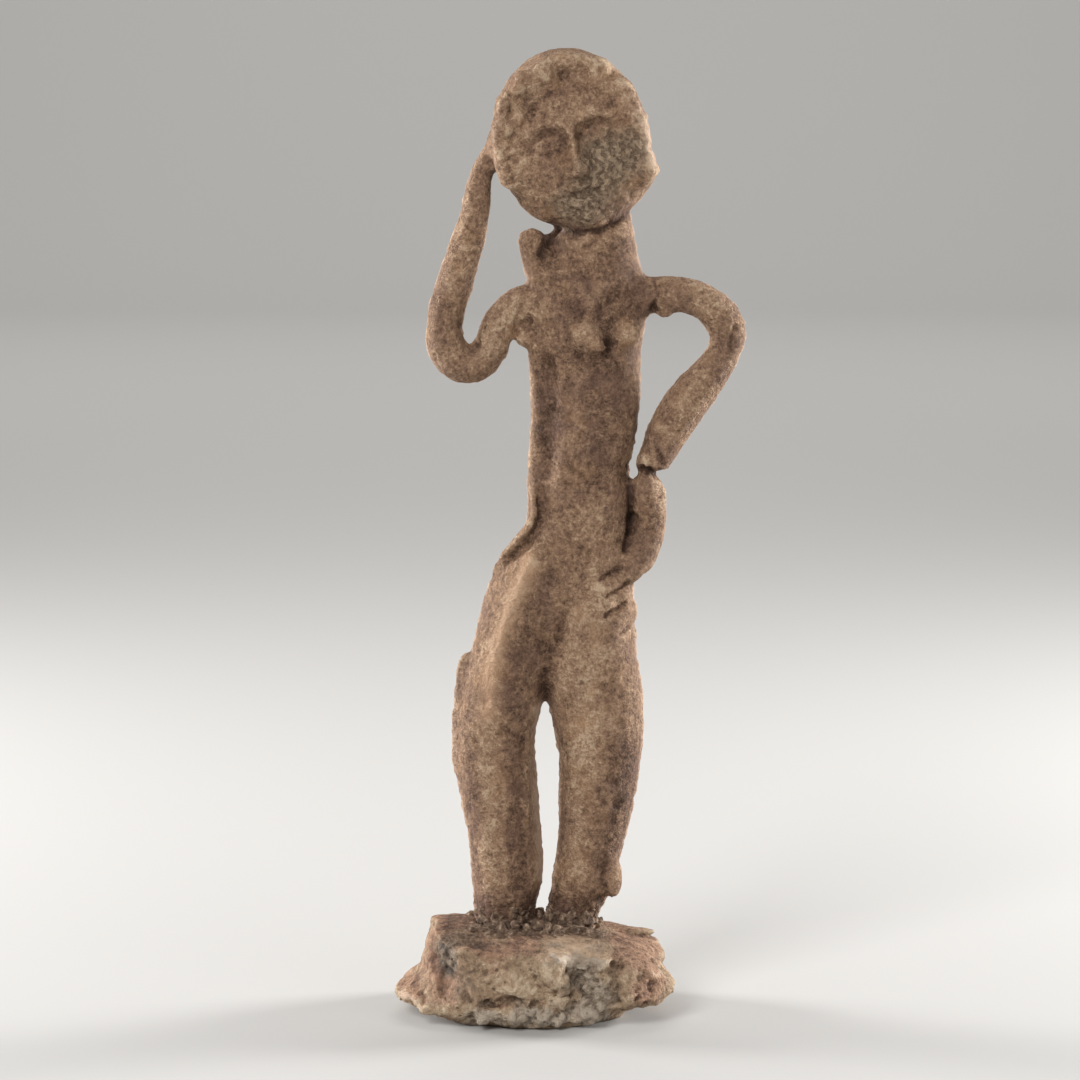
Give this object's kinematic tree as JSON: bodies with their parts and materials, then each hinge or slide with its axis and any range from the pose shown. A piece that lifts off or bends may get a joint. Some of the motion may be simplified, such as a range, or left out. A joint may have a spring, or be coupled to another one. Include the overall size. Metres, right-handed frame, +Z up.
{
  "type": "votive figurine",
  "caption": "Crude cast lead figurine of a standing woman with her right hand raised to her head and her left arm bent to the hip, its legs set in a rough poured block.",
  "frame": {"origin": "middle of the block's flat underside", "axes": "+Z up, the figure faces -Y, and +X is the viewer's right as one faces the figure"},
  "size_m": [0.0468, 0.0268, 0.1289],
  "materials": {
    "patinated_lead": "dull brown corroded lead with a fine grain",
    "crusted_lead": "rough poured lead under a pale earthy crust"
  },
  "bodies": {
    "root": {"figure": "patinated_lead", "block": "crusted_lead"}
  },
  "joints": []
}
